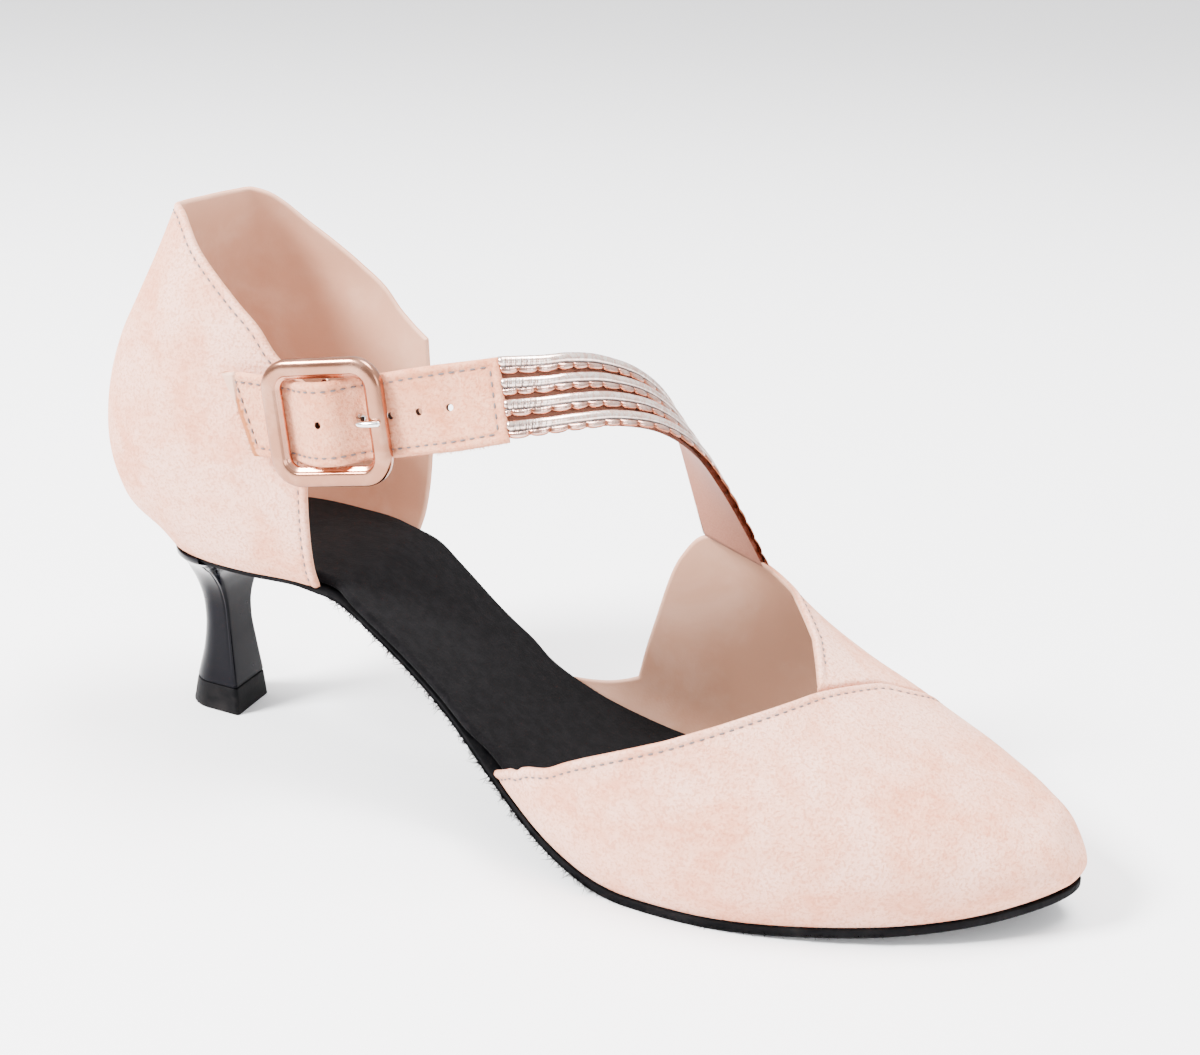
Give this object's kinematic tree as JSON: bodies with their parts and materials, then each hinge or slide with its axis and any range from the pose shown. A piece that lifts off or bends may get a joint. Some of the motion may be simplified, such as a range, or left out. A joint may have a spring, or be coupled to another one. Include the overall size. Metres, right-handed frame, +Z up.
{
  "type": "ballroom dance shoe",
  "caption": "Women's ballroom court shoe, right foot, open waist, buckled instep strap running into scalloped metallic tapes, slim flared heel.",
  "frame": {"origin": "middle of the bounding box, on the floor that the sole and the heel stand on", "axes": "+X from heel to toe, +Y towards the inner (medial) side, +Z up"},
  "size_m": [0.2328, 0.0788, 0.1264],
  "materials": {
    "suede": "blush suede, matt with a short nap",
    "black_sole": "matt black",
    "insole_cloth": "matt black cloth",
    "gloss_black": "gloss black lacquer",
    "tread_rubber": "matt black rubber",
    "rose_metal": "satin rose-gold plating",
    "silver_metal": "bright silver plating",
    "metallic_tape": "rose-gold metallic foil"
  },
  "bodies": {
    "root": {"outsole": "black_sole", "insole": "insole_cloth", "vamp": "suede", "vamp_medial_wing": "suede", "quarter": "suede", "heel": "gloss_black", "top_piece": "tread_rubber", "strap_band": "suede", "tape_1": "metallic_tape", "tape_2": "metallic_tape", "tape_3": "metallic_tape", "tape_4": "metallic_tape", "buckle_frame": "rose_metal", "buckle_bar": "rose_metal", "buckle_prong": "silver_metal", "buckle_tab": "suede"}
  },
  "joints": []
}
